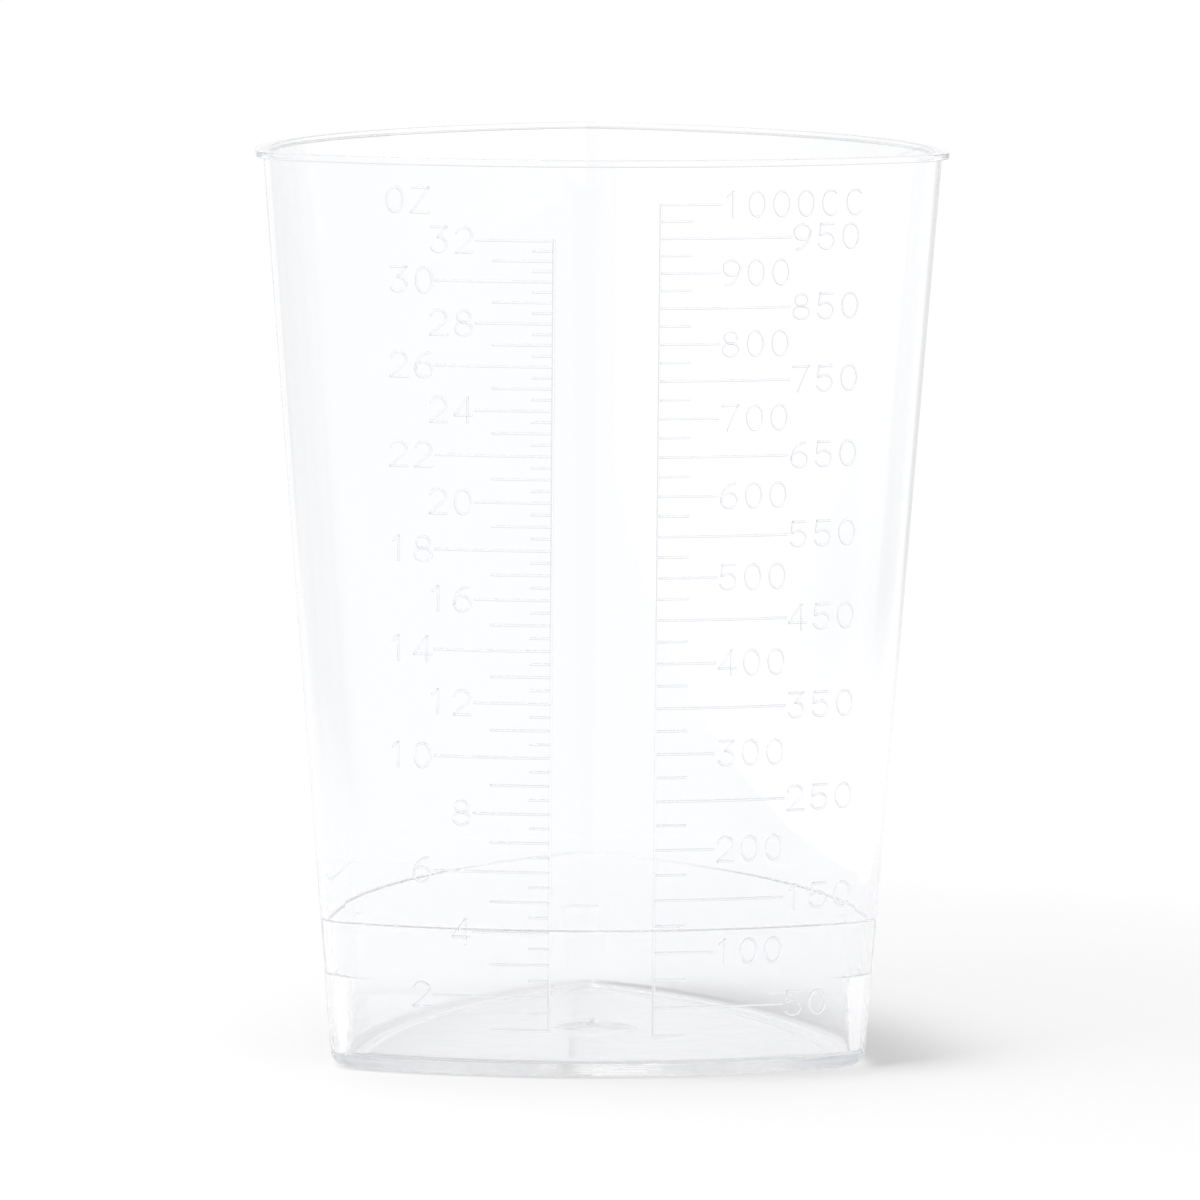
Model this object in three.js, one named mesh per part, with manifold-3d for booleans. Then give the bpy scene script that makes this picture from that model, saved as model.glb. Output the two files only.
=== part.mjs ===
// Triangular measuring vessel: an open, clear, one-piece moulded graduate for 1000 ml and 32 fluid
// ounces. Its plan is a bulging triangle with one flat-fronted side, which carries two raised scales.
// Millimetres, +Z up, front towards -Y, standing on Z = 0 with the origin mid-way under its outline.

import * as THREE from 'three';
import { mergeVertices } from 'three/addons/utils/BufferGeometryUtils.js';
import Module from 'manifold-3d';

const wasm = await Module();
wasm.setup();

// ---- Driving dimensions ----

const HEIGHT = 154;

// The plan at the foot and at the rim. corner: distance of each corner's centre from the axis;
// radius: the corner's own radius; bulge: how far behind the axis the opposite side is struck from,
// as a share of corner. A bulge of 1 with sharp corners would be a Reuleaux triangle.
const FOOT_PLAN = { corner: 44.8, radius: 6, bulge: 1.54 };
const RIM_PLAN = { corner: 51.2, radius: 12, bulge: 0.75 };

const WALL = 1.2;
const LOWER_WALL = 1.55;
const STEP_HEIGHT = 25;
const STEP_RISE = 0.4;

const FLOOR_TOP = 2.4;
const FLOOR_UNDERSIDE = 0.8;
const FLOOR_FILLET = 2;
const HEEL_RADIUS = 2.5;
const FOOT_RING_WIDTH = 1.6;
const RECESS_SLOPE = 0.5;

const FLANGE_OVERHANG = 1.2;
const FLANGE_THICKNESS = 1.1;
const FLANGE_EDGE = 0.3;

const LUG_TOP = 16;
const LUG_SETBACK = 3.84;
const LUG_WIDTH = 9;
const LUG_DEPTH = 6;
const LUG_ROOT = 0.6;

const GATE_RADIUS = 7.6;
const GATE_DEPTH = 0.35;
const GATE_CHAMFER = 0.6;

// Raised scales. A relief this low is one with the wall; the gap keeps the solids apart.
const SCALE_GAP = 0.1;
const TICK_RELIEF = 0.3;
const RULE_RELIEF = 0.36;
const RULE_WIDTH = 0.5;
const TICK_WIDTH = 0.42;
const RULE_OFFSET = 8.7;

// How far a mark reaches from the middle of its rule, by what it counts.
const CC_TICKS = { hundred: 9.8, fifty: 21.5, other: 5.1 };
const OUNCE_TICKS = { four: 12.6, two: 19.1, one: 9.8, half: 3.3 };

const ML_PER_OUNCE = 29.5735;

const MM3_PER_ML = 1000;

// Facets: steps along each bulging side, round each corner, round each fillet, and up the wall.
const SIDE_STEPS = 20;
const CORNER_STEPS = 8;
const FILLET_STEPS = 4;
const WALL_STEPS = 5;
const GATE_STEPS = 48;
const SCALE_STEP = 4;
const RULE_STEP = 10;

const SIDES = 3;
const SIXTH_TURN = Math.PI / 3;
const THIRD_TURN = (2 * Math.PI) / SIDES;
const FRONT = -Math.PI / 2;

// ---- The plan of the vessel at any height ----

/** The plan at height z: corner centres, corner radius, and the arc of each side. */
function planAt(z) {
  const share = z / HEIGHT;
  const corner = THREE.MathUtils.lerp(FOOT_PLAN.corner, RIM_PLAN.corner, share);
  const radius = THREE.MathUtils.lerp(FOOT_PLAN.radius, RIM_PLAN.radius, share);
  const bulge = THREE.MathUtils.lerp(FOOT_PLAN.bulge, RIM_PLAN.bulge, share);
  const arcCentre = bulge * corner;
  const across = corner * Math.sin(SIXTH_TURN);
  const ahead = corner * Math.cos(SIXTH_TURN) + arcCentre;
  return {
    corner,
    radius,
    arcCentre,
    sideRadius: radius + Math.hypot(across, ahead),
    halfAngle: Math.atan2(across, ahead),
  };
}

/** The closed outline at height z, moved inwards by inset: three side arcs and three corner arcs. */
function outline(z, inset) {
  const plan = planAt(z);
  const ring = [];
  const arc = (centreAngle, centreDistance, radius, from, to, steps) => {
    for (let i = 0; i < steps; i += 1) {
      const angle = THREE.MathUtils.lerp(from, to, i / steps);
      ring.push(new THREE.Vector3(
        centreDistance * Math.cos(centreAngle) + radius * Math.cos(angle),
        centreDistance * Math.sin(centreAngle) + radius * Math.sin(angle),
        z,
      ));
    }
  };
  for (let side = 0; side < SIDES; side += 1) {
    const facing = FRONT + side * THIRD_TURN;
    const start = facing - plan.halfAngle;
    const end = facing + plan.halfAngle;
    const nextStart = facing + THIRD_TURN - plan.halfAngle;
    arc(facing, -plan.arcCentre, plan.sideRadius - inset, start, end, SIDE_STEPS);
    arc(facing + SIXTH_TURN, plan.corner, plan.radius - inset, end, nextStart, CORNER_STEPS);
  }
  return ring;
}

/** The area inside the outline at height z, in square millimetres. */
function areaInside(z, inset) {
  const flat = outline(z, inset).map((point) => new THREE.Vector2(point.x, point.y));
  return THREE.ShapeUtils.area(flat);
}

/** The inner wall's inset at height z: the wall is thicker below the step. */
function innerInset(z) {
  return z > STEP_HEIGHT ? WALL : LOWER_WALL;
}

// ---- Solids from rings ----

/** A closed geometry lofted through rings of equal length, each end capped to its middle. */
function loft(rings) {
  const count = rings[0].length;
  const middle = (ring) => ring.reduce((sum, point) => sum.add(point), new THREE.Vector3()).divideScalar(count);
  const points = [...rings.flat(), middle(rings[0]), middle(rings.at(-1))];
  const startCap = points.length - 2;
  const endCap = points.length - 1;
  const lastRing = (rings.length - 1) * count;
  const faces = [];
  for (let i = 0; i < count; i += 1) {
    const next = (i + 1) % count;
    for (let ring = 0; ring < rings.length - 1; ring += 1) {
      const low = ring * count;
      const high = low + count;
      faces.push(low + i, low + next, high + next, low + i, high + next, high + i);
    }
    faces.push(startCap, next, i, endCap, lastRing + i, lastRing + next);
  }
  const geometry = new THREE.BufferGeometry().setFromPoints(points);
  geometry.setIndex(faces);
  return geometry;
}

/** A manifold solid from a closed geometry. */
function toSolid(geometry) {
  const bare = geometry.clone();
  bare.deleteAttribute('normal');
  bare.deleteAttribute('uv');
  const merged = mergeVertices(bare);
  return new wasm.Manifold(new wasm.Mesh({
    numProp: 3,
    vertProperties: merged.attributes.position.array,
    triVerts: new Uint32Array(merged.index.array),
  }));
}

/** A geometry with normals from a manifold solid. */
function toGeometry(solid) {
  const mesh = solid.getMesh();
  const geometry = new THREE.BufferGeometry();
  geometry.setAttribute('position', new THREE.BufferAttribute(mesh.vertProperties, 3));
  geometry.setIndex(new THREE.BufferAttribute(mesh.triVerts, 1));
  geometry.computeVertexNormals();
  return geometry;
}

// ---- The vessel ----

/** The rings of a quarter-round, from share 0 to share 1 of a right angle. */
function quarter(ringAt) {
  const rings = [];
  for (let i = 0; i <= FILLET_STEPS; i += 1) {
    rings.push(ringAt((i / FILLET_STEPS) * (Math.PI / 2)));
  }
  return rings;
}

/** Rings up or down a straight wall between two heights, both ends left out. */
function wallRings(from, to, insetAt) {
  const rings = [];
  for (let i = 1; i < WALL_STEPS; i += 1) {
    const z = THREE.MathUtils.lerp(from, to, i / WALL_STEPS);
    rings.push(outline(z, insetAt(z)));
  }
  return rings;
}

/** The shell: recessed underside, foot ring, heel, wall, rim flange, inner wall, step and floor. */
function shell() {
  const ringInner = HEEL_RADIUS + FOOT_RING_WIDTH;
  const flangeUnderside = HEIGHT - FLANGE_THICKNESS;
  return loft([
    outline(FLOOR_UNDERSIDE, ringInner + RECESS_SLOPE),
    outline(0, ringInner),
    ...quarter((turn) => outline(
      HEEL_RADIUS * (1 - Math.cos(turn)),
      HEEL_RADIUS * (1 - Math.sin(turn)),
    )),
    ...wallRings(HEEL_RADIUS, flangeUnderside, () => 0),
    outline(flangeUnderside, 0),
    outline(flangeUnderside, FLANGE_EDGE - FLANGE_OVERHANG),
    outline(flangeUnderside + FLANGE_EDGE, -FLANGE_OVERHANG),
    outline(HEIGHT - FLANGE_EDGE, -FLANGE_OVERHANG),
    outline(HEIGHT, FLANGE_EDGE - FLANGE_OVERHANG),
    outline(HEIGHT, WALL),
    ...wallRings(HEIGHT, STEP_HEIGHT + STEP_RISE, () => WALL),
    outline(STEP_HEIGHT + STEP_RISE, WALL),
    outline(STEP_HEIGHT, LOWER_WALL),
    ...quarter((turn) => outline(
      FLOOR_TOP + FLOOR_FILLET * (1 - Math.sin(turn)),
      LOWER_WALL + FLOOR_FILLET * (1 - Math.cos(turn)),
    )),
  ]);
}

/** A stacking lug: a block across the tip of one inner corner, rooted half-way into the wall. */
function stackingLug(corner) {
  const direction = FRONT + SIXTH_TURN + corner * THIRD_TURN;
  const height = LUG_TOP - FLOOR_UNDERSIDE;
  const middle = FLOOR_UNDERSIDE + height / 2;
  const reach = planAt(LUG_TOP).corner + LUG_SETBACK + LUG_DEPTH / 2;
  const block = new THREE.BoxGeometry(LUG_DEPTH, LUG_WIDTH, height);
  block.rotateZ(direction);
  block.translate(reach * Math.cos(direction), reach * Math.sin(direction), middle);
  const insideWall = loft([outline(FLOOR_UNDERSIDE + LUG_ROOT, HEEL_RADIUS), outline(LUG_TOP + WALL, LUG_ROOT)]);
  return toSolid(block).intersect(toSolid(insideWall));
}

/** The shallow round recess left by the moulding gate in the middle of the floor. */
function gateRecess() {
  const top = FLOOR_TOP + GATE_CHAMFER;
  const profile = [
    new THREE.Vector2(0, FLOOR_TOP - GATE_DEPTH),
    new THREE.Vector2(GATE_RADIUS - GATE_CHAMFER, FLOOR_TOP - GATE_DEPTH),
    new THREE.Vector2(GATE_RADIUS, FLOOR_TOP),
    new THREE.Vector2(GATE_RADIUS, top),
    new THREE.Vector2(0, top),
  ];
  const turned = new THREE.LatheGeometry(profile, GATE_STEPS);
  turned.rotateX(Math.PI / 2);
  return toSolid(turned);
}

function vesselGeometry() {
  let solid = toSolid(shell());
  for (let corner = 0; corner < SIDES; corner += 1) {
    solid = solid.add(stackingLug(corner));
  }
  return toGeometry(solid.subtract(gateRecess()));
}

// ---- The scales, true to the vessel's own volume ----

/** Heights that hold a list of volumes in millilitres, found by filling the vessel slice by slice. */
function fillHeights(volumes) {
  const slice = 0.25;
  const heights = new Map();
  let z = FLOOR_TOP;
  let held = 0;
  let area = areaInside(z, innerInset(z));
  for (const wanted of volumes) {
    while (held < wanted) {
      z += slice;
      area = areaInside(z - slice / 2, innerInset(z));
      held += (area * slice) / MM3_PER_ML;
    }
    const over = ((held - wanted) * MM3_PER_ML) / area;
    heights.set(wanted, z - over);
  }
  return heights;
}

/** A point on the front side, at x across and z up, standing off the wall. */
function onFront(x, z, standOff) {
  const plan = planAt(z);
  const radius = plan.sideRadius + standOff;
  return new THREE.Vector3(x, plan.arcCentre - Math.sqrt(radius * radius - x * x), z);
}

/** The four corners of a strip's section: near the wall, then away from it. */
function stripSection(a, b, relief) {
  return [
    onFront(a.x, a.z, SCALE_GAP),
    onFront(a.x, a.z, SCALE_GAP + relief),
    onFront(b.x, b.z, SCALE_GAP + relief),
    onFront(b.x, b.z, SCALE_GAP),
  ];
}

/** A raised horizontal mark that follows the bulging wall. */
function tick(from, to, z) {
  const steps = Math.max(1, Math.ceil((to - from) / SCALE_STEP));
  const rings = [];
  for (let i = 0; i <= steps; i += 1) {
    const x = THREE.MathUtils.lerp(from, to, i / steps);
    rings.push(stripSection({ x, z: z + TICK_WIDTH / 2 }, { x, z: z - TICK_WIDTH / 2 }, TICK_RELIEF));
  }
  return toSolid(loft(rings));
}

/** A raised upright line that follows the tapering wall. */
function rule(x, from, to) {
  const steps = Math.ceil((to - from) / RULE_STEP);
  const rings = [];
  for (let i = 0; i <= steps; i += 1) {
    const z = THREE.MathUtils.lerp(from, to, i / steps);
    rings.push(stripSection({ x: x - RULE_WIDTH / 2, z }, { x: x + RULE_WIDTH / 2, z }, RULE_RELIEF));
  }
  return toSolid(loft(rings));
}

/** A scale: one upright rule with a comb of marks on one side of it. */
function scaleGeometry({ side, marks, lengthOf }) {
  const x = side * RULE_OFFSET;
  const heights = fillHeights(marks.map((mark) => mark.millilitres));
  const levels = [...heights.values()];
  const overlap = RULE_WIDTH / 4;
  let solid = rule(x, levels[0] - TICK_WIDTH / 2 - overlap, levels.at(-1) + TICK_WIDTH / 2 + overlap);
  for (const mark of marks) {
    const near = x + side * overlap;
    const far = x + side * lengthOf(mark.count);
    solid = solid.add(tick(Math.min(near, far), Math.max(near, far), heights.get(mark.millilitres)));
  }
  return toGeometry(solid);
}

/** Evenly counted marks from first to last. */
function countMarks(first, last, stride, millilitresEach) {
  const marks = [];
  for (let count = first; count <= last; count += stride) {
    marks.push({ count, millilitres: count * millilitresEach });
  }
  return marks;
}

const CC_SCALE = {
  side: 1,
  marks: countMarks(25, 1000, 25, 1),
  lengthOf: (count) => {
    if (count % 100 === 0) return CC_TICKS.hundred;
    return count % 50 === 0 ? CC_TICKS.fifty : CC_TICKS.other;
  },
};

const OUNCE_SCALE = {
  side: -1,
  marks: countMarks(1, 32, 0.5, ML_PER_OUNCE),
  lengthOf: (count) => {
    if (count % 4 === 0) return OUNCE_TICKS.four;
    if (count % 2 === 0) return OUNCE_TICKS.two;
    return count % 1 === 0 ? OUNCE_TICKS.one : OUNCE_TICKS.half;
  },
};

// ---- The assembly ----

const clearPlastic = new THREE.MeshStandardMaterial({ color: 0xf3f6f9, roughness: 0.06, metalness: 0 });
const reliefPlastic = new THREE.MeshStandardMaterial({ color: 0xe3e8ee, roughness: 0.12, metalness: 0 });

/** A named mesh moved so that the origin is mid-way under the rim's outline. */
function place(name, geometry, material) {
  const rim = planAt(HEIGHT);
  const back = rim.corner + rim.radius;
  const front = rim.sideRadius - rim.arcCentre;
  const mesh = new THREE.Mesh(geometry, material);
  mesh.name = name;
  mesh.position.y = (front - back) / 2;
  return mesh;
}

const group = new THREE.Group();
group.add(place('vessel', vesselGeometry(), clearPlastic));
group.add(place('cc_scale', scaleGeometry(CC_SCALE), reliefPlastic));
group.add(place('ounce_scale', scaleGeometry(OUNCE_SCALE), reliefPlastic));

export default group;
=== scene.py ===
"""Looks of a clear three-sided measuring vessel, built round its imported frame.

The vessel is one clear moulding. Its shell, its two raised scales and their numerals are built here as
finely faceted closed pieces in place of the plain CAD nodes. Lengths are metres, worked out from sizes in
millimetres, with +Z up and the front wall towards -Y.
"""

from __future__ import annotations

import logging
import math
from dataclasses import dataclass, field
from enum import Enum
from typing import Any, Callable, Iterable, Sequence

import bmesh
import bpy
from mathutils import Matrix, Vector


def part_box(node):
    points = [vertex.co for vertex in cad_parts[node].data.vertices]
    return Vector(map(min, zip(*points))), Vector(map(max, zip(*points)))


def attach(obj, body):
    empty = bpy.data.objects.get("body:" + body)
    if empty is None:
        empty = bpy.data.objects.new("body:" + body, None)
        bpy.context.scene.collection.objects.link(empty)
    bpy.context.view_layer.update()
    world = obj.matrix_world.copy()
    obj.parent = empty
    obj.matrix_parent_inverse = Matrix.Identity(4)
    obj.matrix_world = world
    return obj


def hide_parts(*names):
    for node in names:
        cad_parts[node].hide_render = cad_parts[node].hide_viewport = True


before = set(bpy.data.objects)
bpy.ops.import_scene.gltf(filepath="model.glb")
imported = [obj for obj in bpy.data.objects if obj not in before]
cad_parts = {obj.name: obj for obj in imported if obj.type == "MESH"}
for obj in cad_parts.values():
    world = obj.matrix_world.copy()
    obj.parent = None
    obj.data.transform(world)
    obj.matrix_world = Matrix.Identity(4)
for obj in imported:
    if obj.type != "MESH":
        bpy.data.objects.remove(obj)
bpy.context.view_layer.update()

MM = 0.001
MILLILITRE = 1e-6
QUARTER_TURN = math.pi / 2
SIXTH_TURN = math.pi / 3
THIRD_TURN = 2 * math.pi / 3
SIDES = 3
FRONT = -QUARTER_TURN

Colour = tuple[float, float, float]
Place = tuple[float, float, float]
Point = tuple[float, float]
Span = tuple[float, float]
Ring = list[Vector]

log = logging.getLogger("measuring_vessel")


# ---- Small helpers ----


def blend(start: float, end: float, share: float) -> float:
    """Returns the value a share of the way from start to end."""
    return start + (end - start) * share


def spaced(start: float, end: float, steps: int) -> list[float]:
    """Returns steps + 1 evenly spaced values from start to end."""
    return [blend(start, end, i / steps) for i in range(steps + 1)]


def grey(level: float) -> tuple[float, float, float, float]:
    """Returns a grey of a given lightness as a node's colour."""
    return (level, level, level, 1.0)


def solid_piece(name: str, lofts: Iterable[Sequence[Ring]]) -> bpy.types.Object:
    """Makes one smooth mesh object from closed lofts.

    Args:
        name: The piece's name.
        lofts: The rings of each loft, all of one length. A loft whose last ring is its first is a closed
            loop, and any other is capped at both ends.

    Returns:
        The new object, linked to the scene.
    """
    mesh = bpy.data.meshes.new(name)
    build = bmesh.new()
    for rings in lofts:
        add_loft(build, rings)
    bmesh.ops.recalc_face_normals(build, faces=build.faces)
    build.to_mesh(mesh)
    build.free()
    mesh.shade_smooth()
    piece = bpy.data.objects.new(name, mesh)
    bpy.context.scene.collection.objects.link(piece)
    return piece


def add_loft(build: bmesh.types.BMesh, rings: Sequence[Ring]) -> None:
    """Adds a loft through rings to a mesh, as a closed loop or with a fan round the middle of each end.

    Args:
        build: The mesh to add to.
        rings: Rings of equal length, from one end to the other.
    """
    count = len(rings[0])
    loop = rings[0] is rings[-1]
    rows = [[build.verts.new(point) for point in ring] for ring in (rings[:-1] if loop else rings)]
    for low, high in zip(rows, rows[1:] + rows[:1] if loop else rows[1:]):
        for i in range(count):
            j = (i + 1) % count
            build.faces.new((low[i], low[j], high[j], high[i]))
    if loop:
        return
    for row, ring in ((rows[0], rings[0]), (rows[-1], rings[-1])):
        middle = build.verts.new(sum(ring, Vector()) / count)
        for i in range(count):
            build.faces.new((row[i], row[(i + 1) % count], middle))


# ---- Shader expressions ----


class Socket:
    """A node's output as a value in written sums: each operator adds a Math node."""

    def __init__(self, tree: bpy.types.NodeTree, output: bpy.types.NodeSocket) -> None:
        """Wraps one output of a tree."""
        self.tree = tree
        self.output = output

    def _sum(self, operation: str, first: Socket | float, second: Socket | float) -> Socket:
        """Adds a Math node.

        Args:
            operation: The Math node's operation.
            first: A Socket or a number.
            second: A Socket or a number.

        Returns:
            The node's result.
        """
        node = self.tree.nodes.new("ShaderNodeMath")
        node.operation = operation
        for place, value in zip(node.inputs, (first, second)):
            if isinstance(value, Socket):
                self.tree.links.new(value.output, place)
            else:
                place.default_value = value
        return Socket(self.tree, node.outputs[0])

    def __add__(self, other: Socket | float) -> Socket:
        """Returns self + other."""
        return self._sum("ADD", self, other)

    def __radd__(self, other: Socket | float) -> Socket:
        """Returns other + self."""
        return self._sum("ADD", other, self)

    def __sub__(self, other: Socket | float) -> Socket:
        """Returns self - other."""
        return self._sum("SUBTRACT", self, other)

    def __rsub__(self, other: Socket | float) -> Socket:
        """Returns other - self."""
        return self._sum("SUBTRACT", other, self)

    def __mul__(self, other: Socket | float) -> Socket:
        """Returns self times other."""
        return self._sum("MULTIPLY", self, other)

    def __rmul__(self, other: Socket | float) -> Socket:
        """Returns other times self."""
        return self._sum("MULTIPLY", other, self)

    def __truediv__(self, other: Socket | float) -> Socket:
        """Returns self divided by other."""
        return self._sum("DIVIDE", self, other)

    def __rtruediv__(self, other: Socket | float) -> Socket:
        """Returns other divided by self."""
        return self._sum("DIVIDE", other, self)


class Shader:
    """The node tree of one material or world, emptied and ready to be written."""

    def __init__(self, owner: bpy.types.Material | bpy.types.World) -> None:
        """Turns on the owner's nodes and clears them.

        Args:
            owner: The material or world to write.
        """
        owner.use_nodes = True
        self.tree = owner.node_tree
        self.tree.nodes.clear()

    def node(self, kind: str, settings: dict[str, Any] | None = None, **inputs: Any) -> bpy.types.Node:
        """Adds a node.

        Args:
            kind: The node's type, without its ShaderNode prefix.
            settings: Properties set before the inputs, such as an operation.
            **inputs: Values, Sockets or outputs for the inputs, by name with _ for a space.

        Returns:
            The node.
        """
        node = self.tree.nodes.new(f"ShaderNode{kind}")
        for key, value in (settings or {}).items():
            setattr(node, key, value)
        for key, value in inputs.items():
            place = self._place(node, key)
            if isinstance(value, Socket):
                self.tree.links.new(value.output, place)
            elif isinstance(value, bpy.types.NodeSocket):
                self.tree.links.new(value, place)
            else:
                place.default_value = value
        return node

    @staticmethod
    def _place(node: bpy.types.Node, key: str) -> bpy.types.NodeSocket:
        """Finds an input by name, or by number where the key is in_0, in_1 and so on."""
        if key.startswith("in_"):
            return node.inputs[int(key[3:])]
        return node.inputs[key.replace("_", " ")]

    def value(self, output: bpy.types.NodeSocket) -> Socket:
        """Returns an output as a value for written sums."""
        return Socket(self.tree, output)

    def mix_colour(self, factor: Any, first: Any, second: Any) -> bpy.types.NodeSocket:
        """Mixes two colours.

        Args:
            factor: The share of the second colour.
            first: A colour or a colour output.
            second: A colour or a colour output.

        Returns:
            The mixed colour's output.
        """
        settings = {"data_type": "RGBA", "clamp_factor": True}
        node = self.node("Mix", settings, in_0=factor, in_6=first, in_7=second)
        return node.outputs[2]

    def rise(self, value: Socket, span: Span) -> Socket:
        """Steps smoothly from 0 to 1.

        Args:
            value: The value that the step follows.
            span: Where the step leaves 0 and where it reaches 1.

        Returns:
            The step.
        """
        start, end = span
        step = self.node(
            "MapRange", {"interpolation_type": "SMOOTHSTEP"},
            Value=value, From_Min=start, From_Max=end, To_Min=0.0, To_Max=1.0,
        )
        return self.value(step.outputs["Result"])


# ---- Finishes ----


@dataclass(frozen=True)
class ClearPlastic:
    """Polished clear plastic with faint flow ripples from its mould, with lengths in metres.

    The shades are the shares of lamp light that an edge, a face and the low wall let through. The low
    wall's shade comes in over the first span of height and fades out over the second.
    """

    name: str
    tint: Colour
    deep_tint: Colour
    ior: float
    roughness: float
    haze: float
    ripple_size: float
    ripple_depth: float
    edge_shade: float
    face_shade: float
    foot_shade: float
    foot_comes: Span = (2.5 * MM, 5 * MM)
    foot_fades: Span = (12 * MM, 62 * MM)
    edge_blend: float = 0.2
    ripple_detail: float = 3.0
    ripple_strength: float = 0.5

    def material(self) -> bpy.types.Material:
        """Returns the finish as a new material."""
        material = bpy.data.materials.new(self.name)
        shader = Shader(material)
        place = shader.node("TexCoord").outputs["Object"]
        cloud = shader.node(
            "TexNoise", Vector=place, Scale=1 / self.ripple_size, Detail=self.ripple_detail
        )
        amount = shader.value(cloud.outputs["Fac"])
        ripple = shader.node(
            "Bump", Strength=self.ripple_strength, Distance=self.ripple_depth, Height=amount
        )
        plastic = shader.node(
            "BsdfPrincipled",
            Base_Color=shader.mix_colour(amount, (*self.tint, 1), (*self.deep_tint, 1)),
            Roughness=amount * self.haze + self.roughness,
            IOR=self.ior,
            Transmission_Weight=1.0,
            Normal=ripple.outputs["Normal"],
        )
        shader.node("OutputMaterial", Surface=self._lit_through(shader, plastic.outputs["BSDF"]))
        return material

    def _lit_through(self, shader: Shader, plastic: bpy.types.NodeSocket) -> bpy.types.NodeSocket:
        """Lets lamps shine through the plastic, less along its edge and least through the low wall.

        Args:
            shader: The material's shader.
            plastic: The shader that the eye sees.

        Returns:
            The mixed shader's output.
        """
        slant = shader.node("LayerWeight", Blend=self.edge_blend).outputs["Facing"]
        place = shader.node("SeparateXYZ", Vector=shader.node("TexCoord").outputs["Object"])
        height = shader.value(place.outputs["Z"])
        low = shader.rise(height, self.foot_comes) * (1 - shader.rise(height, self.foot_fades))
        face, edge, foot = (
            shader.node("BsdfTransparent", Color=grey(shade)).outputs[0]
            for shade in (self.face_shade, self.edge_shade, self.foot_shade)
        )
        upper = shader.node("MixShader", in_0=slant, in_1=face, in_2=edge)
        clear = shader.node("MixShader", in_0=low, in_1=upper.outputs[0], in_2=foot)
        ray = shader.node("LightPath")
        inner = shader.node(
            "MixShader", in_0=ray.outputs["Is Diffuse Ray"], in_1=plastic, in_2=clear.outputs[0]
        )
        outer = shader.node(
            "MixShader", in_0=ray.outputs["Is Shadow Ray"], in_1=inner.outputs[0], in_2=clear.outputs[0]
        )
        return outer.outputs[0]


WALL_PLASTIC = ClearPlastic(
    name="clear_moulded_plastic",
    tint=(0.986, 0.988, 0.997),
    deep_tint=(0.978, 0.981, 0.993),
    ior=1.49,
    roughness=0.0,
    haze=0.02,
    ripple_size=14 * MM,
    ripple_depth=0.05 * MM,
    edge_shade=0.94,
    face_shade=0.982,
    foot_shade=0.7,
)

RELIEF_PLASTIC = ClearPlastic(
    name="clear_raised_relief",
    tint=(0.99, 0.992, 1.0),
    deep_tint=(0.98, 0.983, 0.997),
    ior=1.25,
    roughness=0.02,
    haze=0.05,
    ripple_size=3 * MM,
    ripple_depth=0.01 * MM,
    edge_shade=0.92,
    face_shade=0.99,
    foot_shade=0.9,
)


# ---- The vessel's form ----


@dataclass(frozen=True)
class PlanSizes:
    """One end of the plan: corner distance and radius in millimetres, and how far each side bulges."""

    corner: float
    radius: float
    bulge: float


@dataclass(frozen=True)
class Plan:
    """The plan at one height, in metres and radians."""

    corner: float
    radius: float
    arc_centre: float
    side_radius: float
    half_angle: float


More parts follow.
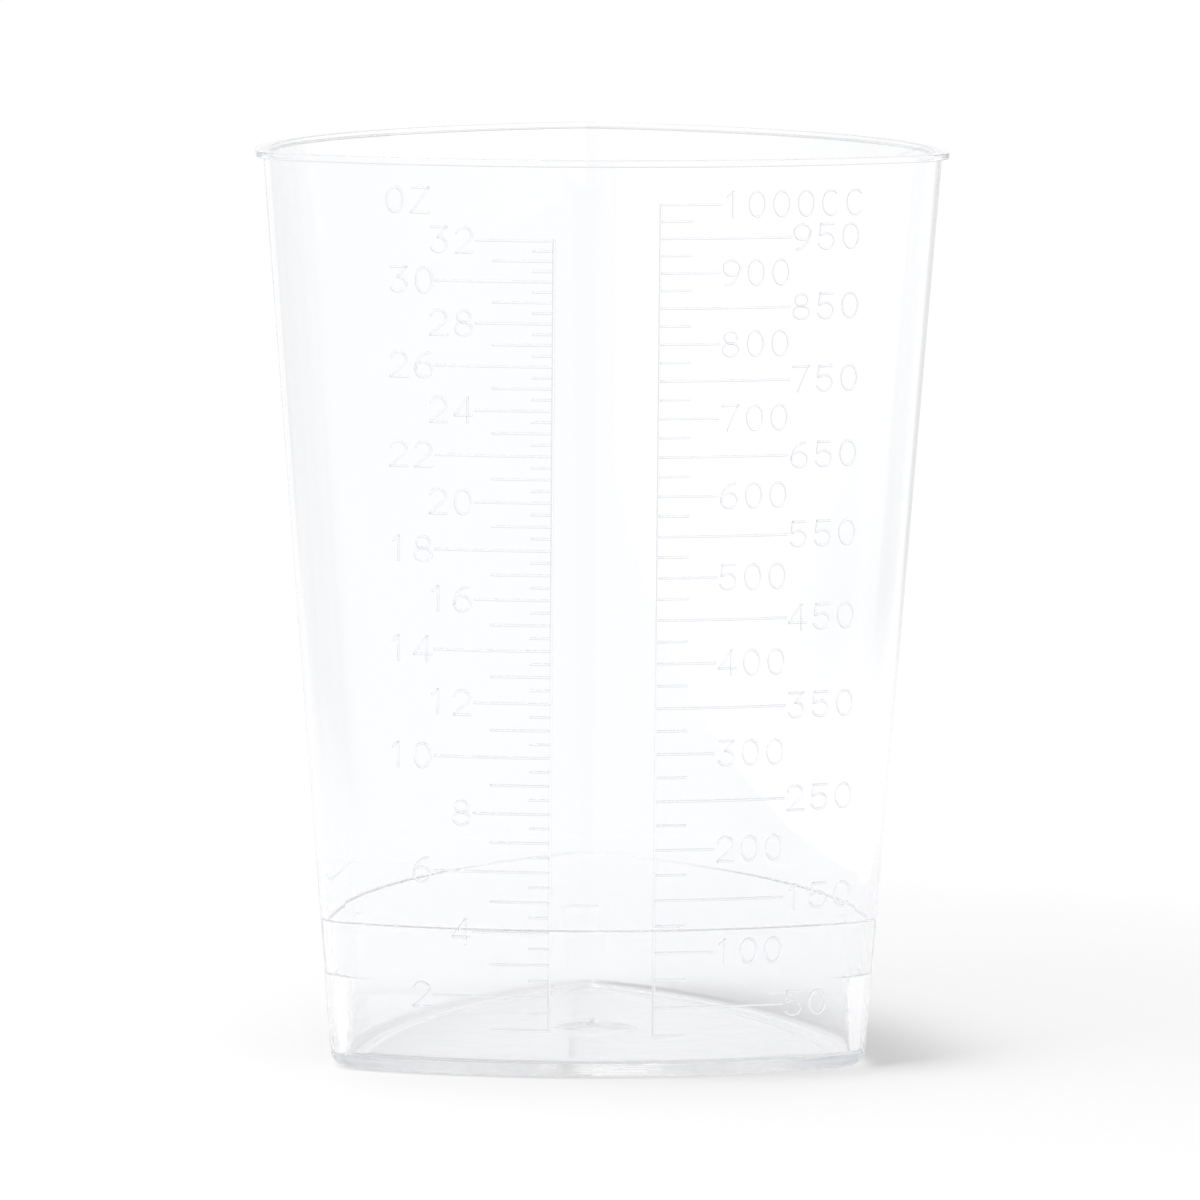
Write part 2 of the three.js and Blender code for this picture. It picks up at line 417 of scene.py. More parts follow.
@dataclass(frozen=True)
class VesselForm:
    """The bulging triangle that the shell and its scales share, from foot to rim, in millimetres."""

    height: float = 154
    foot: PlanSizes = PlanSizes(corner=44.8, radius=6, bulge=1.54)
    rim: PlanSizes = PlanSizes(corner=51.2, radius=12, bulge=0.75)
    wall: float = 1.2
    lower_wall: float = 1.55
    step_height: float = 25
    floor_top: float = 2.4

    def plan_at(self, z: float) -> Plan:
        """Works out the plan at a height.

        Args:
            z: The height in metres.

        Returns:
            The plan there.
        """
        share = z / (self.height * MM)
        corner = blend(self.foot.corner, self.rim.corner, share) * MM
        radius = blend(self.foot.radius, self.rim.radius, share) * MM
        arc_centre = blend(self.foot.bulge, self.rim.bulge, share) * corner
        across = corner * math.sin(SIXTH_TURN)
        ahead = corner * math.cos(SIXTH_TURN) + arc_centre
        side_radius = radius + math.hypot(across, ahead)
        return Plan(corner, radius, arc_centre, side_radius, math.atan2(across, ahead))

    @property
    def axis_y(self) -> float:
        """Where the triangle's axis lies behind or before the frame's origin, in metres."""
        rim = self.plan_at(self.height * MM)
        return (rim.side_radius - rim.arc_centre - rim.corner - rim.radius) / 2

    def on_front(self, x: float, z: float, stand_off: float) -> Vector:
        """Finds a point on the front wall, or off it, in metres.

        Args:
            x: The point's place across the wall.
            z: Its height.
            stand_off: How far it stands outside the wall.

        Returns:
            The point.
        """
        plan = self.plan_at(z)
        reach = plan.side_radius + stand_off
        return Vector((x, self.axis_y + plan.arc_centre - math.sqrt(reach * reach - x * x), z))

    def inner_inset(self, z: float) -> float:
        """Returns the inner wall's inset at a height: the wall is thicker below the step."""
        return (self.wall if z > self.step_height * MM else self.lower_wall) * MM

    def area_inside(self, z: float, inset: float) -> float:
        """Works out the area inside the outline at a height.

        The outline is three arcs struck from behind the axis and three corner arcs: a triangle of corner
        centres, three side slivers and the band of the corner radius round them.

        Args:
            z: The height in metres.
            inset: How far the outline lies inside the outer wall, in metres.

        Returns:
            The area in square metres.
        """
        plan = self.plan_at(z)
        radius = plan.radius - inset
        chord_radius = plan.side_radius - plan.radius
        triangle = 3 * math.sqrt(3) / 4 * plan.corner**2
        half = plan.half_angle
        sliver = chord_radius**2 * (half - math.sin(half) * math.cos(half))
        length = SIDES * 2 * half * chord_radius
        return triangle + SIDES * sliver + length * radius + math.pi * radius**2

    def fill_heights(self, volumes: Sequence[float]) -> list[float]:
        """Finds how high the vessel stands full for rising volumes.

        Args:
            volumes: Volumes in millilitres, in rising order.

        Returns:
            The surface heights in metres.
        """
        step = 0.25 * MM
        heights = []
        z = self.floor_top * MM
        held = 0.0
        area = self.area_inside(z, self.inner_inset(z))
        for wanted in (volume * MILLILITRE for volume in volumes):
            while held < wanted:
                z += step
                area = self.area_inside(z - step / 2, self.inner_inset(z))
                held += area * step
            heights.append(z - (held - wanted) / area)
        return heights


FORM = VesselForm()


# ---- The shell ----


@dataclass
class Shell:
    """The open vessel itself, in millimetres: foot ring, heel, walls, rim flange, step, lugs and floor."""

    form: VesselForm = FORM
    finish: ClearPlastic = WALL_PLASTIC
    step_rise: float = 0.4
    floor_underside: float = 0.8
    floor_fillet: float = 0.7
    heel_radius: float = 2.5
    foot_ring_width: float = 1.6
    foot_edge_rise: float = 0.12
    foot_edge_in: float = 0.08
    foot_edge_out: float = 0.1
    recess_slope: float = 0.5
    recess_circles: Span = (9, 3)
    flange_overhang: float = 1.2
    flange_thickness: float = 1.1
    flange_edge: float = 0.3
    flange_root: float = 0.25
    rim_lip: float = 0.2
    lug_top: float = 16
    lug_reach: float = 49.3
    lug_edge: float = 0.35
    lug_start: float = 0.05
    shelf_fall: float = 0.06
    gate_radius: float = 7.6
    gate_depth: float = 0.2
    gate_chamfer: float = 3.0
    gate_lip: float = 0.2
    gate_rounding: float = 0.03
    gate_middle: float = 2.5
    flat_weight: int = 100
    side_steps: int = 40
    corner_steps: int = 32
    fillet_steps: int = 8
    wall_steps: int = 26
    edge_steps: int = 4
    floor_steps: int = 10

    def outline(self, z: float, inset: float, reach: float | None = None) -> Ring:
        """Draws the closed outline at a height.

        Args:
            z: The height in millimetres.
            inset: How far inside the outer wall, in millimetres.
            reach: How far from the axis a corner may reach, in millimetres, where a lug cuts it off.

        Returns:
            The ring's points in metres.
        """
        plan = self.form.plan_at(z * MM)
        ring: Ring = []
        for side in range(SIDES):
            facing = FRONT + side * THIRD_TURN
            turn = facing + SIXTH_TURN
            before = facing - plan.half_angle
            start = facing + plan.half_angle
            end = facing + THIRD_TURN - plan.half_angle
            side_radius = plan.side_radius - inset * MM
            radius = plan.radius - inset * MM
            ring += self._arc(z, facing, -plan.arc_centre, side_radius, before, start, self.side_steps)
            ring += self._arc(z, turn, plan.corner, radius, start, end, self.corner_steps)
        if reach is None:
            return ring
        return [self._cut_back(point, reach * MM) for point in ring]

    def _arc(self, z: float, towards: float, distance: float, radius: float,
             start: float, end: float, steps: int) -> Ring:
        """Draws one arc of an outline, its last point left out.

        Args:
            z: The height in millimetres.
            towards: The direction of the arc's centre from the axis.
            distance: How far the centre lies that way, in metres.
            radius: The arc's radius in metres.
            start: The angle of the first point.
            end: The angle where the next arc starts.
            steps: How many points it has.

        Returns:
            The arc's points in metres.
        """
        x = distance * math.cos(towards)
        y = self.form.axis_y + distance * math.sin(towards)
        centre = Vector((x, y, z * MM))
        angles = spaced(start, end, steps)[:-1]
        return [centre + Vector((radius * math.cos(a), radius * math.sin(a), 0)) for a in angles]

    def _cut_back(self, point: Vector, reach: float) -> Vector:
        """Moves a point of a corner back to a lug's flat face, and leaves every other point.

        Args:
            point: A point of an inner outline.
            reach: How far from the axis the lug's face stands, in metres.

        Returns:
            The point, moved along the corner's direction where it reached further.
        """
        for corner in range(SIDES):
            angle = FRONT + SIXTH_TURN + corner * THIRD_TURN
            direction = Vector((math.cos(angle), math.sin(angle), 0))
            over = (point - Vector((0, self.form.axis_y, 0))).dot(direction) - reach
            if over > 0:
                return point - direction * over
        return point

    def _quarter(self, steps: int, ring_at: Callable[[float], Ring]) -> list[Ring]:
        """Returns the rings of a quarter-round, ring_at being called with angles up to a right angle."""
        return [ring_at(turn) for turn in spaced(0, QUARTER_TURN, steps)]

    def _wall(self, start: float, end: float, inset: float, reach: float | None = None) -> list[Ring]:
        """Returns evenly spaced rings of a straight wall between two heights, both ends left out."""
        steps = max(2, math.ceil(abs(end - start) / self.form.height * self.wall_steps))
        return [self.outline(z, inset, reach) for z in spaced(start, end, steps)[1:-1]]

    def _flange(self) -> list[Ring]:
        """Draws the rim flange, from the outer wall over the rounded edge to the inner wall.

        Returns:
            The flange's rings.
        """
        top = self.form.height
        under = top - self.flange_thickness
        edge = self.flange_edge
        out = -self.flange_overhang
        root = self.flange_root
        lip = self.rim_lip
        return [
            *self._quarter(self.edge_steps, lambda turn: self.outline(
                under - root * (1 - math.sin(turn)), -root * (1 - math.cos(turn)))),
            *self._quarter(self.edge_steps, lambda turn: self.outline(
                under + edge * (1 - math.cos(turn)), out + edge * (1 - math.sin(turn)))),
            *self._quarter(self.edge_steps, lambda turn: self.outline(
                top - edge * (1 - math.sin(turn)), out + edge * (1 - math.cos(turn)))),
            *self._quarter(self.edge_steps, lambda turn: self.outline(
                top - lip * (1 - math.cos(turn)), self.form.wall - lip * (1 - math.sin(turn)))),
        ]

    def _inner_wall(self) -> list[Ring]:
        """Draws the inner wall from below the rim to the lugs: wall, step and lower wall.

        Returns:
            The wall's rings.
        """
        form = self.form
        step = form.step_height
        mid = (form.wall + form.lower_wall) / 2
        half = (form.lower_wall - form.wall) / 2
        rise = self.step_rise
        return [
            *self._wall(form.height - self.rim_lip, step + rise, form.wall),
            *[self.outline(step + rise * share, mid - half * math.sin((share - 0.5) * math.pi))
              for share in spaced(1, 0, self.edge_steps * 2)],
            *self._wall(step, self.lug_top + self.lug_edge, form.lower_wall),
        ]

    def _lugs_and_floor(self) -> list[Ring]:
        """Draws the lugs from their top down their faces, and the fillet round to the floor.

        Returns:
            The rings.
        """
        form = self.form
        top = self.lug_top
        edge = self.lug_edge
        inset = form.lower_wall
        tip = form.plan_at(top * MM)
        full = (tip.corner + tip.radius) / MM - inset
        floor = form.floor_top
        fillet = self.floor_fillet
        shelf = self.shelf_fall
        return [
            self.outline(top + shelf * 4, inset),
            self.outline(top + shelf * 2, inset, full - self.lug_start),
            self.outline(top + shelf, inset, blend(full, self.lug_reach, 0.5)),
            *self._quarter(self.edge_steps, lambda turn: self.outline(
                top - edge * (1 - math.cos(turn)), inset, self.lug_reach + edge * (1 - math.sin(turn)))),
            *self._wall(top - edge, floor + fillet, inset, self.lug_reach),
            *self._quarter(self.fillet_steps, lambda turn: self.outline(
                floor + fillet * (1 - math.sin(turn)),
                inset + fillet * (1 - math.cos(turn)),
                self.lug_reach - fillet * (1 - math.cos(turn)))),
        ]

    def _towards_middle(self, ring: Ring, profile: Sequence[Point]) -> list[Ring]:
        """Carries an edge ring inwards to circles round the axis, which end in a small one.

        Args:
            ring: The floor's edge.
            profile: Radius and height of each circle in millimetres, from the outside inwards.

        Returns:
            The rings after the edge.
        """
        axis = Vector((0, self.form.axis_y, 0))
        rings = []
        first_radius, first_height = profile[0]
        flat = [point - axis for point in ring]
        circle = [Vector((p.x, p.y, 0)).normalized() for p in flat]
        for share in spaced(0, 1, self.floor_steps)[1:-1]:
            rings.append([axis + p.lerp(c * first_radius * MM + Vector((0, 0, first_height * MM)), share)
                          for p, c in zip(flat, circle)])
        for radius, height in profile:
            rings.append([axis + c * radius * MM + Vector((0, 0, height * MM)) for c in circle])
        return rings

    def build(self) -> bpy.types.Object:
        """Builds the shell as one closed mesh.

        Returns:
            The shell's object.
        """
        form = self.form
        ring_inner = self.heel_radius + self.foot_ring_width
        heel = self.heel_radius
        recess = self.outline(self.floor_underside, ring_inner + self.recess_slope)
        recess_profile = [(radius, self.floor_underside) for radius in self.recess_circles]
        under = self._towards_middle(recess, recess_profile)
        top = form.floor_top
        sunk = top - self.gate_depth
        gate_bottom = self.gate_radius - self.gate_chamfer
        inner = self._lugs_and_floor()
        gate = [
            (self.gate_radius + self.gate_lip, top),
            (self.gate_radius, top - self.gate_rounding),
            (gate_bottom, sunk + self.gate_rounding),
            (gate_bottom - self.gate_lip, sunk),
            (self.gate_middle, sunk),
        ]
        rings = [
            *reversed(under),
            recess,
            self.outline(self.foot_edge_rise, ring_inner + self.foot_edge_in),
            self.outline(0, ring_inner - self.foot_edge_out),
            *self._quarter(self.fillet_steps, lambda turn: self.outline(
                heel * (1 - math.cos(turn)), heel * (1 - math.sin(turn)))),
            *self._wall(heel, form.height - self.flange_thickness - self.flange_root, 0),
            *self._flange(),
            *self._inner_wall(),
            *inner,
            *self._towards_middle(inner[-1], gate),
        ]
        shell = solid_piece("vessel_shell", [rings])
        flat = shell.modifiers.new("flat_faces", "WEIGHTED_NORMAL")
        flat.weight = self.flat_weight
        shell.data.materials.append(self.finish.material())
        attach(shell, "root")
        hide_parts("vessel")
        return shell


# ---- Raised strokes on the front wall ----


@dataclass(frozen=True)
class Stroke:
    """A raised line on the front wall with rounded sides and ends, in millimetres."""

    path: tuple[Point, ...]
    width: float
    relief: float
    root: float = 0.12
    side_steps: int = 6
    end_steps: int = 3
    closing_share: float = 0.1

    def rings(self, form: VesselForm) -> list[Ring]:
        """Sweeps the stroke's section along its path.

        Args:
            form: The vessel's form, which the path lies on.

        Returns:
            The rings from one end to the other, in metres. A path that comes back to its start ends with
            its first ring.
        """
        gap = math.dist(self.path[0], self.path[-1])
        closed = len(self.path) > 2 and gap < self.width * self.closing_share
        points = self.path[:-1] if closed else self.path
        last = len(points) - 1
        places = []
        for i, point in enumerate(points):
            before = points[i - 1] if i or closed else point
            after = points[(i + 1) % len(points)] if i < last or closed else point
            along = Vector((after[0] - before[0], after[1] - before[1])).normalized()
            places.append((Vector(point), along, 1.0))
        if closed:
            rings = [self._section(form, *place) for place in places]
            return [*rings, rings[0]]
        start, start_along, _ = places[0]
        end, end_along, _ = places[-1]
        places = [*self._tip(start, start_along, -1), *places, *self._tip(end, end_along, 1)]
        return [self._section(form, *place) for place in places]

    def _tip(self, at: Vector, along: Vector, side: int) -> list[tuple[Vector, Vector, float]]:
        """Works out the sections of a rounded end.

        Args:
            at: The path's last point at that end, in millimetres.
            along: The path's direction there.
            side: 1 at the path's end and -1 at its start.

        Returns:
            The point, direction and share of each section, in the path's order.
        """
        half = self.width / 2 * side
        turns = spaced(0, QUARTER_TURN, self.end_steps + 1)[1:-1]
        return [(at + along * half * math.sin(turn), along, math.cos(turn)) for turn in turns][::side]

    def _section(self, form: VesselForm, at: Vector, along: Vector, share: float) -> Ring:
        """Draws the stroke's section at one point.

        Args:
            form: The vessel's form.
            at: The point across and up the wall, in millimetres.
            along: The path's direction there.
            share: How much of its full width and relief the section has.

        Returns:
            The section's ring in metres.
        """
        across = Vector((along.y, -along.x)) * self.width / 2 * share
        ring = []
        for angle in spaced(0, math.pi, self.side_steps):
            place = at + across * math.cos(angle)
            height = self.relief * share * math.sin(angle)
            ring.append(form.on_front(place.x * MM, place.y * MM, height * MM))
        for side in (-1, 1):
            place = at + across * side
            ring.append(form.on_front(place.x * MM, place.y * MM, -self.root * MM))
        return ring


def line(*points: Point) -> list[Point]:
    """Returns a line's points."""
    return list(points)


def arc(centre: Point, across: float, up: float, start: float, end: float, steps: int = 10) -> list[Point]:
    """Draws part of an oval.

    Args:
        centre: Its centre.
        across: Its half width.
        up: Its half height.
        start: The angle of the first point, in degrees.
        end: The angle of the last point, in degrees.
        steps: How many pieces it has.

    Returns:
        The points.
    """
    turns = [math.radians(angle) for angle in spaced(start, end, steps)]
    return [(centre[0] + across * math.cos(t), centre[1] + up * math.sin(t)) for t in turns]


class StrokeLetters:
    """Single-stroke characters, as an engraver's cutter draws them, in a cell 0.68 wide and 1 high."""

    CELL_WIDTH = 0.68

    def __init__(self) -> None:
        """Draws every character that the scales need."""
        oval = arc((0.34, 0.5), 0.32, 0.5, 90, 450, 24)
        self.strokes: dict[str, list[list[Point]]] = {
            "0": [oval],
            "1": [line((0.14, 0.8), (0.36, 1.0)), line((0.36, 1.0), (0.36, 0.0))],
            "2": [arc((0.34, 0.7), 0.31, 0.3, 165, -35) + line((0.02, 0.0)),
                  line((0.02, 0.0), (0.68, 0.0))],
            "3": [line((0.04, 1.0), (0.62, 1.0)), line((0.62, 1.0), (0.3, 0.6)),
                  arc((0.32, 0.3), 0.32, 0.3, 94, -155)],
            "4": [line((0.5, 0.0), (0.5, 1.0)), line((0.5, 1.0), (0.0, 0.28)),
                  line((0.0, 0.28), (0.68, 0.28))],
            "5": [line((0.62, 1.0), (0.1, 1.0)), line((0.1, 1.0), (0.05, 0.56)),
                  arc((0.32, 0.32), 0.33, 0.32, 130, -155)],
            "6": [arc((0.62, 0.31), 0.61, 0.69, 95, 180, 6), arc((0.34, 0.31), 0.33, 0.31, 180, 540, 20)],
            "7": [line((0.02, 1.0), (0.66, 1.0)), line((0.66, 1.0), (0.24, 0.0))],
            "8": [arc((0.34, 0.76), 0.26, 0.24, -90, 270, 20),
                  arc((0.34, 0.26), 0.33, 0.26, 90, 450, 20)],
            "9": [arc((0.06, 0.69), 0.61, 0.69, -85, 0, 6), arc((0.34, 0.69), 0.33, 0.31, 0, 360, 20)],
            "C": [arc((0.36, 0.5), 0.34, 0.5, 50, 310, 18)],
            "O": [oval],
            "Z": [line((0.04, 1.0), (0.66, 1.0)), line((0.66, 1.0), (0.0, 0.0)),
                  line((0.0, 0.0), (0.68, 0.0))],
        }

    def write(self, text: str, left: float, middle: float, height: float,
              pitch: float) -> list[list[Point]]:
        """Sets a line of characters.

        Args:
            text: The characters.
            left: The left edge of the first, in millimetres.
            middle: The height of their middles, in millimetres.
            height: Their height in millimetres.
            pitch: The distance between characters in millimetres.

        Returns:
            The path of each stroke in millimetres.
        """
        foot = middle - height / 2
        paths = []
        for i, character in enumerate(text):
            start = left + i * pitch
            for stroke in self.strokes[character]:
                paths.append([(start + x * height, foot + z * height) for x, z in stroke])
        return paths


class Hand(Enum):
    """Which way a scale's marks run from its upright rule."""

    LEFT = -1
    RIGHT = 1


@dataclass(frozen=True)
class MarkLength:
    """How long the marks at the multiples of a count are, in millimetres."""

    every: float
    length: float


@dataclass
class Scale:
    """A raised scale: its upright rule, the comb of marks beside it, and its numerals.

    Sizes are millimetres. The mark lengths go from the rarest marks to the commonest.
    """

    name: str
    node: str
    hand: Hand
    unit: str
    first: float
    last: float
    stride: float
    millilitres: float
    label_stride: float
    lengths: tuple[MarkLength, ...]
    form: VesselForm = FORM
    finish: ClearPlastic = RELIEF_PLASTIC
    rule_offset: float = 8.7
    rule_width: float = 0.5
    rule_relief: float = 0.2
    tick_width: float = 0.42
    tick_relief: float = 0.15
    numeral_height: float = 4.1
    numeral_pitch: float = 4.1
    numeral_width: float = 0.42
    numeral_relief: float = 0.12
    label_gap: float = 0.6
    unit_reach: float = 19.8
    unit_rise: float = 6.4
    point_spacing: float = 3.0
    marks: list[tuple[float, float]] = field(init=False)

    def __post_init__(self) -> None:
        """Finds the height of each mark, in millimetres, by filling the vessel."""
        steps = round((self.last - self.first) / self.stride)
        counts = [self.first + i * self.stride for i in range(steps + 1)]
        heights = self.form.fill_heights([count * self.millilitres for count in counts])
        self.marks = [(count, z / MM) for count, z in zip(counts, heights)]

    def length_of(self, count: float) -> float:
        """Returns the length of the mark at a count, in millimetres."""
        return next(mark.length for mark in self.lengths if count % mark.every == 0)

    def _straight(self, start: Point, end: Point, width: float, relief: float) -> Stroke:
        """Makes a straight stroke with points close enough to follow the wall.

        Args:
            start: Its first point, in millimetres.
            end: Its last point.
            width: Its width.
            relief: How far it stands off the wall.

        Returns:
            The stroke.
        """
        steps = max(1, math.ceil(math.dist(start, end) / self.point_spacing))
        xs = spaced(start[0], end[0], steps)
        zs = spaced(start[1], end[1], steps)
        return Stroke(tuple(zip(xs, zs)), width, relief)

    def comb(self) -> bpy.types.Object:
        """Builds the upright rule and its marks as one piece.

        Returns:
            The piece.
        """
        side = self.hand.value
        x = side * self.rule_offset
        low, high = self.marks[0][1], self.marks[-1][1]
        strokes = [self._straight((x, low), (x, high), self.rule_width, self.rule_relief)]
        for count, z in self.marks:
            near = x + side * self.rule_width / 2
            far = x + side * self.length_of(count)
            strokes.append(self._straight((near, z), (far, z), self.tick_width, self.tick_relief))
        piece = self._piece(self.name, strokes)
        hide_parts(self.node)
        return piece

    def numerals(self, letters: StrokeLetters) -> bpy.types.Object:
        """Builds the numerals at the ends of the marks, and the unit's letters over them.

        Args:
            letters: The characters to write with.

        Returns:
            The piece.
        """
        strokes = []
        for count, z in self.marks:
            if count % self.label_stride:
                continue
            text = f"{count:.0f}"
            if count == self.last and self.hand is Hand.RIGHT:
                text += self.unit
            strokes += self._label(text, self.length_of(count), z, letters)
        if self.hand is Hand.LEFT:
            above = self.marks[-1][1] + self.unit_rise
            strokes += self._label(self.unit, self.unit_reach, above, letters)
        return self._piece(f"{self.name}_numerals", strokes)

    def _label(self, text: str, length: float, z: float, letters: StrokeLetters) -> list[Stroke]:
        """Writes one label beyond the end of a mark.

        Args:
            text: The characters.
            length: The mark's length in millimetres.
            z: The mark's height in millimetres.
            letters: The characters to write with.

        Returns:
            The label's strokes.
        """
        span = (len(text) - 1) * self.numeral_pitch + StrokeLetters.CELL_WIDTH * self.numeral_height
        left = self.rule_offset + length + self.label_gap
        if self.hand is Hand.LEFT:
            left = -left - span
        paths = letters.write(text, left, z, self.numeral_height, self.numeral_pitch)
        return [Stroke(tuple(path), self.numeral_width, self.numeral_relief) for path in paths]

    def _piece(self, name: str, strokes: Sequence[Stroke]) -> bpy.types.Object:
        """Builds strokes as one piece of raised relief.

        Args:
            name: The piece's name.
            strokes: The strokes.

        Returns:
            The piece, finished and riding on the vessel.
        """
        piece = solid_piece(name, [stroke.rings(self.form) for stroke in strokes])
        piece.data.materials.append(self.finish.material())
        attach(piece, "root")
        return piece


CC_SCALE = Scale(
    name="cc_relief",
    node="cc_scale",
    hand=Hand.RIGHT,
    unit="CC",
    first=25,
    last=1000,
    stride=25,
    millilitres=1.0,
    label_stride=50,
    lengths=(MarkLength(100, 9.8), MarkLength(50, 21.5), MarkLength(25, 5.1)),
)

OUNCE_SCALE = Scale(
    name="ounce_relief",
    node="ounce_scale",
    hand=Hand.LEFT,
    unit="OZ",
    first=1,
    last=32,
    stride=0.5,
    millilitres=29.5735,
    label_stride=2,
    lengths=(MarkLength(4, 12.6), MarkLength(2, 19.1), MarkLength(1, 9.8), MarkLength(0.5, 3.3)),
)


# ---- The studio ----


@dataclass(frozen=True)
class Lamp:
    """A soft rectangular lamp that isn't seen itself, in metres and watts."""

    name: str
    spot: Place
    aim: Place
    size: Point
    power: float
    lights_floor: bool = True

    def build(self) -> bpy.types.Object:
        """Makes the lamp.

        Returns:
            The lamp.
        """
        data = bpy.data.lights.new(self.name, "AREA")
        data.shape = "RECTANGLE"
        data.size, data.size_y = self.size
        data.energy = self.power
        lamp = bpy.data.objects.new(self.name, data)
        spot = Vector(self.spot)
        turn = (Vector(self.aim) - spot).to_track_quat("-Z", "Y").to_matrix().to_4x4()
        lamp.matrix_world = Matrix.Translation(spot) @ turn
        lamp.visible_camera = False
        lamp.visible_transmission = False
        lamp.visible_diffuse = self.lights_floor
        bpy.context.scene.collection.objects.link(lamp)
        return lamp


KEY_LAMP = Lamp("key", spot=(-0.52, -0.28, 1.38), aim=(0, 0, 0.05), size=(0.6, 0.6), power=16.4)
GLEAM_CARD = Lamp(
    "gleam_card", spot=(0.12, -0.15, 0.1), aim=(0, -0.1, 0.1), size=(0.5, 0.4), power=0.95,
    lights_floor=False,
)


@dataclass
class Studio:
    """Pale floor, soft light and the camera.

    Distances are metres and turns degrees. Each span from ground_ends on is where a step of the floor's
    or the surroundings' brightness starts and ends: by distance from the vessel for the first two, and
    for the others by how far a direction points backwards, sideways or up.
    """

    form: VesselForm = FORM
    lamps: tuple[Lamp, ...] = (KEY_LAMP, GLEAM_CARD)
    camera_distance: float = 1.333
    camera_height: float = 0.2307
    camera_turn: float = -1.885
    camera_pan: float = -0.031
    camera_tilt: float = 6.612
    camera_roll: float = 0.265
    lens: float = 236.8
    clip: Span = (0.1, 60)
    floor_radius: float = 14.0
    floor_edges: int = 96
    floor_gap: float = 0.05 * MM
    floor_paints: Span = (0.9, 0.92)
    floor_grain: float = 400.0
    floor_roughness: float = 0.9
    sweep_glow: float = 1.02
    ambient: float = 0.46
    backdrop_direct: float = 1.03
    backdrop: float = 1.0
    gap_dark: float = 0.24
    left_dark: float = 0.16
    ceiling_dark: float = 0.3
    lens_side_dark: float = 0.2
    key_side_glow: float = 0.1
    light_bounces: int = 400
    ground_ends: Span = (0.11, 0.24)
    sweep_darkens: Span = (0.35, 0.7)
    behind: Span = (0.0, 0.3)
    gap_opens: Span = (0.06, 0.3)
    gap_closes: Span = (0.5, 0.75)
    far_left: Span = (0.6, 0.8)
    overhead: Span = (0.12, 0.5)
    lens_side: Span = (0.8, 0.97)
    key_side: Span = (0.1, 0.5)

    def camera(self) -> bpy.types.Object:
        """Makes the camera, which looks slightly down at the front wall from afar.

        Returns:
            The camera.
        """
        data = bpy.data.cameras.new("camera")
        data.lens = self.lens
        data.clip_start, data.clip_end = self.clip
        camera = bpy.data.objects.new("camera", data)
        turn = math.radians(self.camera_turn)
        aim = (
            Matrix.Rotation(turn + math.radians(self.camera_pan), 4, "Z")
            @ Matrix.Rotation(QUARTER_TURN - math.radians(self.camera_tilt), 4, "X")
            @ Matrix.Rotation(math.radians(self.camera_roll), 4, "Z")
        )
        spot = Matrix.Rotation(turn, 4, "Z") @ Vector((0, -self.camera_distance, self.camera_height))
        camera.matrix_world = Matrix.Translation(spot + Vector((0, self.form.axis_y, 0))) @ aim
        bpy.context.scene.collection.objects.link(camera)
        bpy.context.scene.camera = camera
        return camera

    def floor(self) -> bpy.types.Object:
        """Makes the pale floor that the vessel stands on.

        Returns:
            The floor.
        """
        low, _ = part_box("vessel")
        mesh = bpy.data.meshes.new("floor")
        build = bmesh.new()
        bmesh.ops.create_circle(build, cap_ends=True, segments=self.floor_edges, radius=self.floor_radius)
        bmesh.ops.translate(build, verts=build.verts, vec=(0, 0, low.z - self.floor_gap))
        build.to_mesh(mesh)
        build.free()
        floor = bpy.data.objects.new("floor", mesh)
        bpy.context.scene.collection.objects.link(floor)
        floor.data.materials.append(self._floor_material())
        return floor

    def _floor_material(self) -> bpy.types.Material:
        """Makes a matt pale surface that passes into a glowing sweep away from the vessel. The sweep is
        evenly bright to the camera, and carries painted shade in the dark gaps that reflections and
        refractions see.

        Returns:
            The material.
        """
        material = bpy.data.materials.new("pale_sweep")
        shader = Shader(material)
        place = shader.node("TexCoord").outputs["Object"]
        length = shader.node("VectorMath", {"operation": "LENGTH"}, in_0=place)
        away = shader.value(length.outputs["Value"])
        seen = shader.value(shader.node("LightPath").outputs["Is Camera Ray"])
        way = shader.node("SeparateXYZ", Vector=place)
        right, back = (shader.value(way.outputs[axis]) / away for axis in "XY")
        # Painted shade: the sweep glows less towards the dark gaps, for every ray but the camera's.
        unlit = self._unlit(shader, right, back) * shader.rise(away, self.sweep_darkens) * (1 - seen)
        grain = shader.node("TexNoise", Vector=place, Scale=self.floor_grain)
        paint = shader.mix_colour(grain.outputs["Fac"], *(grey(level) for level in self.floor_paints))
        ground = shader.node(
            "BsdfPrincipled", Base_Color=paint, Roughness=self.floor_roughness, Specular_IOR_Level=0.0
        )
        glow = shader.mix_colour(unlit, grey(self.sweep_glow), grey(0.0))
        sweep = shader.node("Emission", Color=glow, Strength=1.0)
        surface = shader.node(
            "MixShader", in_0=shader.rise(away, self.ground_ends),
            in_1=ground.outputs["BSDF"], in_2=sweep.outputs[0],
        )
        shader.node("OutputMaterial", Surface=surface.outputs[0])
        return material

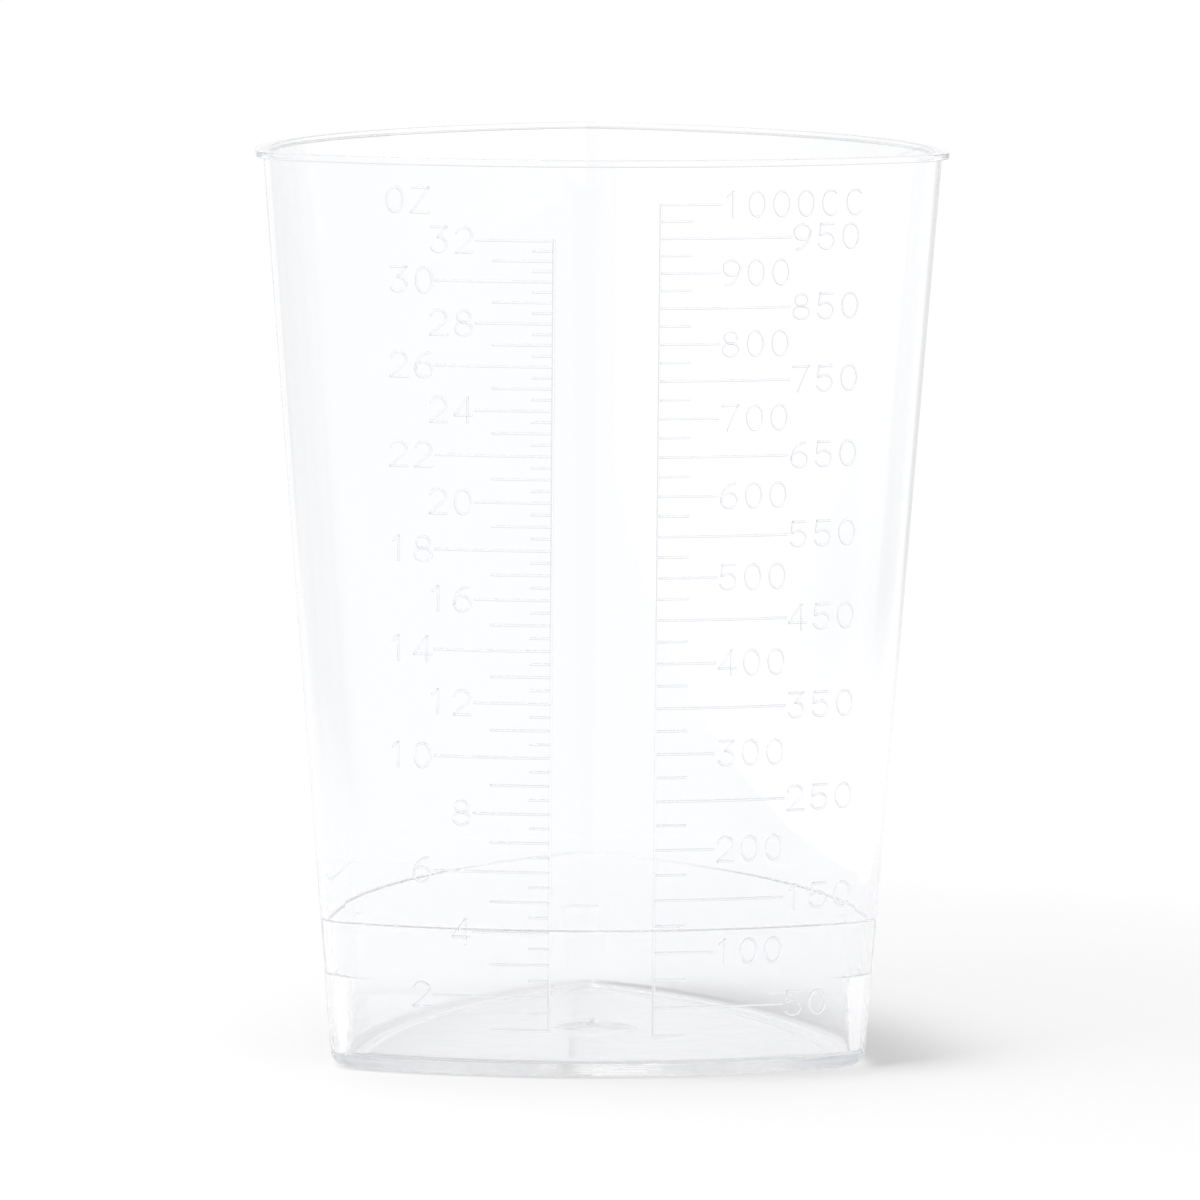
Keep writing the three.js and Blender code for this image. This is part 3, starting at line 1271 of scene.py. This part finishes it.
    def _unlit(self, shader: Shader, right: Socket, back: Socket) -> Socket:
        """Works out how dark the room is between the cards behind the vessel.

        Args:
            shader: The shader to write in.
            right: How far to the right a direction from the vessel points, from -1 to 1.
            back: How far backwards it points, from -1 to 1.

        Returns:
            The share of light that is missing in that direction.
        """
        gap = shader.rise(right, self.gap_opens) * (1 - shader.rise(right, self.gap_closes))
        far_left = shader.rise(0 - right, self.far_left)
        return (gap * self.gap_dark + far_left * self.left_dark) * shader.rise(back, self.behind)

    def world(self) -> None:
        """Makes the white surroundings, darker overhead, round the lens and where no card stands."""
        world = bpy.data.worlds.new("studio")
        bpy.context.scene.world = world
        shader = Shader(world)
        ray = shader.node("LightPath")
        matt = shader.value(ray.outputs["Is Diffuse Ray"])
        seen = shader.value(ray.outputs["Is Camera Ray"])
        way = shader.node("SeparateXYZ", Vector=shader.node("TexCoord").outputs["Generated"])
        right, back, up = (shader.value(way.outputs[axis]) for axis in "XYZ")
        gap = self._unlit(shader, right, back)
        ceiling = shader.rise(up, self.overhead) * self.ceiling_dark
        lens_side = shader.rise(0 - back, self.lens_side) * self.lens_side_dark
        glow = shader.rise(0 - right, self.key_side) * self.key_side_glow
        seen_through = self.backdrop + glow - gap - ceiling - lens_side
        direct = seen * self.backdrop_direct + (1 - seen) * seen_through
        strength = direct + matt * (self.ambient - direct)
        light = shader.node("Background", Color=grey(1.0), Strength=strength)
        shader.node("OutputWorld", Surface=light.outputs[0])

    def build(self) -> None:
        """Builds the whole studio."""
        self.world()
        self.floor()
        for lamp in self.lamps:
            lamp.build()
        self.camera()
        scene = bpy.context.scene
        scene.view_settings.view_transform = "Standard"
        for kind in ("max", "glossy", "transmission", "transparent_max"):
            setattr(scene.cycles, f"{kind}_bounces", self.light_bounces)


# ---- Assembly ----


def main() -> None:
    """Builds the vessel's pieces and the studio, and reports each piece."""
    logging.basicConfig(level=logging.INFO, format="%(name)s: %(message)s")
    letters = StrokeLetters()
    pieces = [Shell().build()]
    for scale in (CC_SCALE, OUNCE_SCALE):
        pieces.append(scale.comb())
        pieces.append(scale.numerals(letters))
    for piece in pieces:
        log.info("%s has %d faces", piece.name, len(piece.data.polygons))
    Studio().build()


if __name__ == "__main__":
    main()
